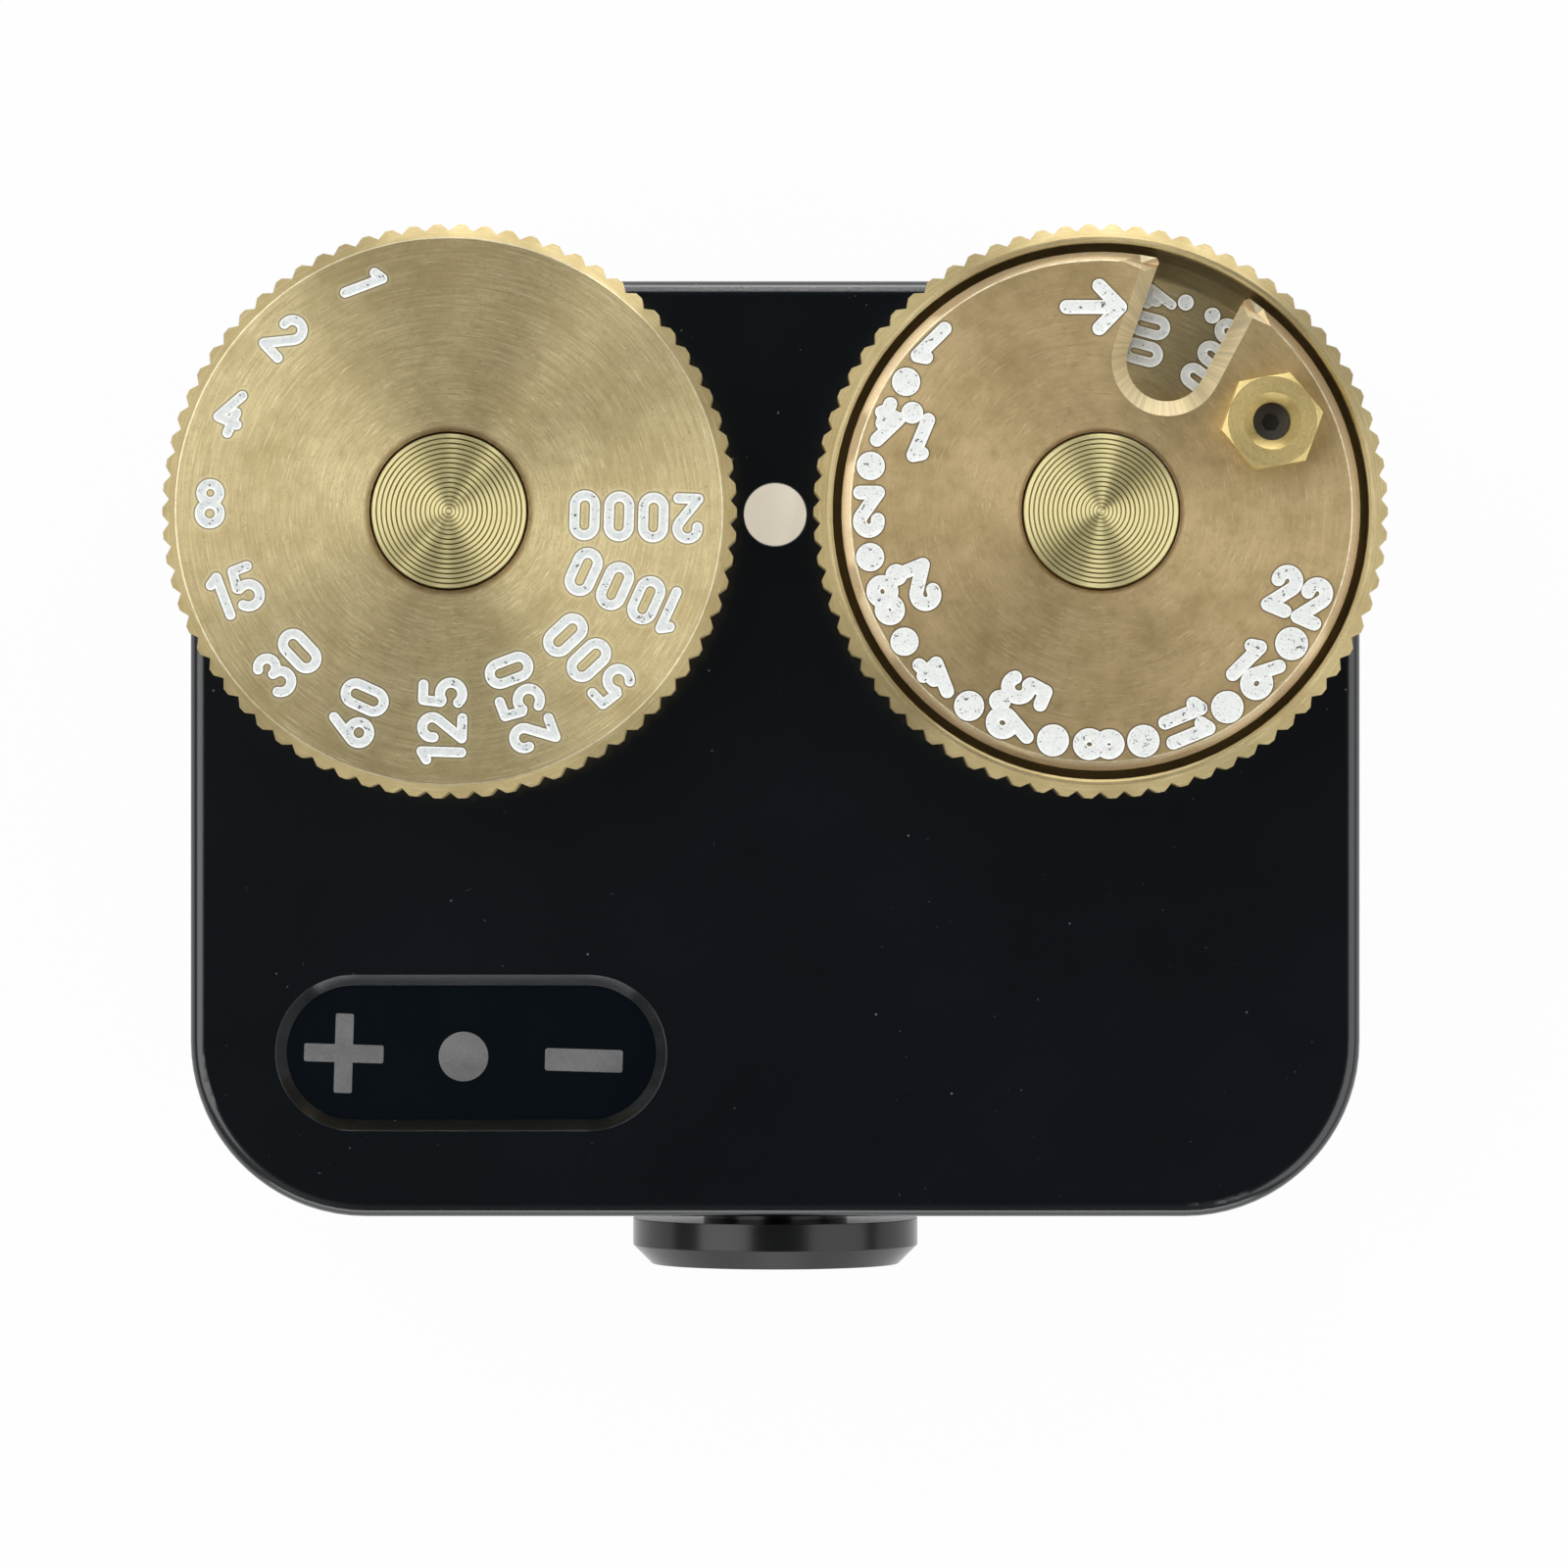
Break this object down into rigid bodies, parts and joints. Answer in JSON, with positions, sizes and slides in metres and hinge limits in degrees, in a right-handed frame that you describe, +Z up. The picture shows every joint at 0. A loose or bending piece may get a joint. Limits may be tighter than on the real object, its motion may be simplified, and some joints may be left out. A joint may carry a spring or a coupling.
{
  "type": "shoe mount light meter",
  "caption": "Small black camera-top light meter with two knurled brass dials, a light window, a round push button and a sliding shoe foot.",
  "frame": {"origin": "middle of the shoe foot's sliding face, on which the meter stands", "axes": "+Z up out of the top plate, +Y towards the light sensor, +X to the aperture dial"},
  "size_m": [0.0414, 0.0356, 0.0208],
  "materials": {
    "case_black": "satin black anodised aluminium",
    "button_black": "semi-gloss black anodised aluminium",
    "dial_brass": "turned brass, unlacquered",
    "disc_brass": "turned brass, a little browner",
    "cap_brass": "bright turned brass",
    "foot_steel": "brushed",
    "screw_steel": "turned",
    "index_white": "milky white plastic, polished flush",
    "window_black": "smoked acrylic, polished",
    "lens_glass": "clear",
    "dark_plastic": "moulded",
    "set_screw_black": "black oxide",
    "plunger_plastic": "moulded",
    "board_green": "solder mask",
    "part_ceramic": "ceramic",
    "led_chip": "clear resin",
    "cell_steel": "bright nickel",
    "contact_gold": "gilt spring metal"
  },
  "bodies": {
    "case": {"case_shell": "case_black", "base_plate": "case_black", "base_screws": "screw_steel", "shoe_foot": "foot_steel", "foot_screws": "screw_steel", "index_dot": "index_white", "led_window": "window_black", "led_mask": "dark_plastic", "indicator_leds": "led_chip", "circuit_board": "board_green", "controller_chip": "dark_plastic", "small_components": "part_ceramic", "battery_tray": "dark_plastic", "battery_cell": "cell_steel", "cell_spring": "contact_gold", "rim_spring": "contact_gold", "tact_switch": "dark_plastic", "button_bush": "button_black", "sensor_bezel": "button_black", "sensor_lens": "lens_glass", "photodiode": "dark_plastic", "shutter_bushing": "cap_brass", "shutter_nut": "screw_steel", "shutter_encoder": "dark_plastic", "aperture_bushing": "cap_brass", "aperture_nut": "screw_steel", "aperture_encoder": "dark_plastic"},
    "shutter": {"shutter_dial": "dial_brass", "shutter_cap": "cap_brass", "shutter_spindle": "screw_steel", "shutter_rotor": "plunger_plastic"},
    "aperture": {"aperture_ring": "dial_brass", "aperture_cap": "cap_brass", "aperture_spindle": "screw_steel", "aperture_rotor": "plunger_plastic", "friction_washer": "screw_steel"},
    "film_speed": {"aperture_disc": "disc_brass", "speed_post": "disc_brass", "speed_set_screw": "set_screw_black"},
    "button": {"button_cap": "button_black", "button_clip": "screw_steel", "switch_plunger": "plunger_plastic"}
  },
  "joints": [
    {"name": "shutter_turn", "type": "hinge", "parent": "case", "child": "shutter", "pos_m": [-0.011, 0.008, 0.0155], "axis": [0, 0, 1], "range_deg": [0, 247.5]},
    {"name": "aperture_turn", "type": "hinge", "parent": "case", "child": "aperture", "pos_m": [0.011, 0.008, 0.0155], "axis": [0, 0, 1], "range_deg": [-157.5, 45]},
    {"name": "film_speed_turn", "type": "hinge", "parent": "aperture", "child": "film_speed", "pos_m": [0.011, 0.008, 0.018], "axis": [0, 0, 1], "range_deg": [-82.5, 97.5]},
    {"name": "button_press", "type": "slide", "parent": "case", "child": "button", "axis": [0, 1, 0], "range_m": [0, 0.00025], "stiffness_N_per_m": 400}
  ]
}
